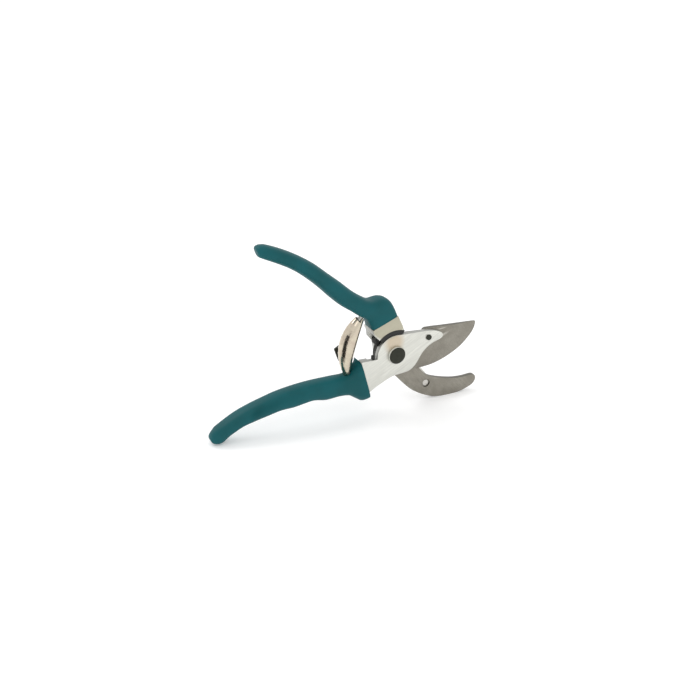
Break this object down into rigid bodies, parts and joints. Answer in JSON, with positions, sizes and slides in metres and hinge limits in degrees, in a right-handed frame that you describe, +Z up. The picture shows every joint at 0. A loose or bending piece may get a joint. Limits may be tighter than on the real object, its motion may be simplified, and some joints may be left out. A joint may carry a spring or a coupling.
{
  "type": "pruning shears",
  "caption": "One-handed bypass pruning shears with a ground blade, a hooked counter blade, coated curved handles, a volute return spring and a thumb latch.",
  "frame": {"origin": "middle of the bounding box's base, under the shears standing on edge on the lower grip's end and the counter blade's belly", "axes": "+X from the handle ends towards the blade tip, +Y from the pivot bolt's head to its nut, +Z up"},
  "size_m": [0.2162, 0.0218, 0.1398],
  "materials": {
    "handle_alloy": "satin cast alloy, lightly brushed",
    "grip_vinyl": "soft teal vinyl coating with a dull sheen",
    "blade_steel": "matt olive-grey blade steel",
    "dark_steel": "black oxide steel",
    "black_rubber": "matt black rubber",
    "bearing_bronze": "oiled bearing bronze",
    "bright_steel": "bright plated steel",
    "spring_steel": "bright rolled spring strip"
  },
  "bodies": {
    "blade_side": {"lower_handle": "handle_alloy", "lower_grip": "grip_vinyl", "cutting_blade": "blade_steel", "blade_rivet": "dark_steel", "closing_bumper": "black_rubber", "pivot_bush": "bearing_bronze", "latch_pin": "dark_steel", "latch_spacer": "bright_steel", "volute_spring": "spring_steel"},
    "hook_side": {"upper_handle": "handle_alloy", "upper_grip": "grip_vinyl", "counter_blade": "blade_steel", "hook_rivet": "bright_steel", "rubber_cushion": "black_rubber", "friction_washer": "bearing_bronze", "pivot_bolt": "dark_steel", "pivot_nut": "dark_steel", "nut_lock_segment": "bright_steel", "lock_screw": "bright_steel", "catch_pin": "bright_steel"},
    "latch": {"latch_lever": "dark_steel"}
  },
  "joints": [
    {"name": "handle_hinge", "type": "hinge", "parent": "blade_side", "child": "hook_side", "pos_m": [0.03345, 0, 0.046], "axis": [0, -1, 0], "range_deg": [0, 36], "stiffness_Nm_per_rad": 1.5, "springref_deg": -28.65, "deforming": ["volute_spring"]},
    {"name": "latch_hinge", "type": "hinge", "parent": "blade_side", "child": "latch", "pos_m": [0.00435, 0.00868, 0.0341], "axis": [0, 1, 0], "range_deg": [0, 42.3]}
  ]
}
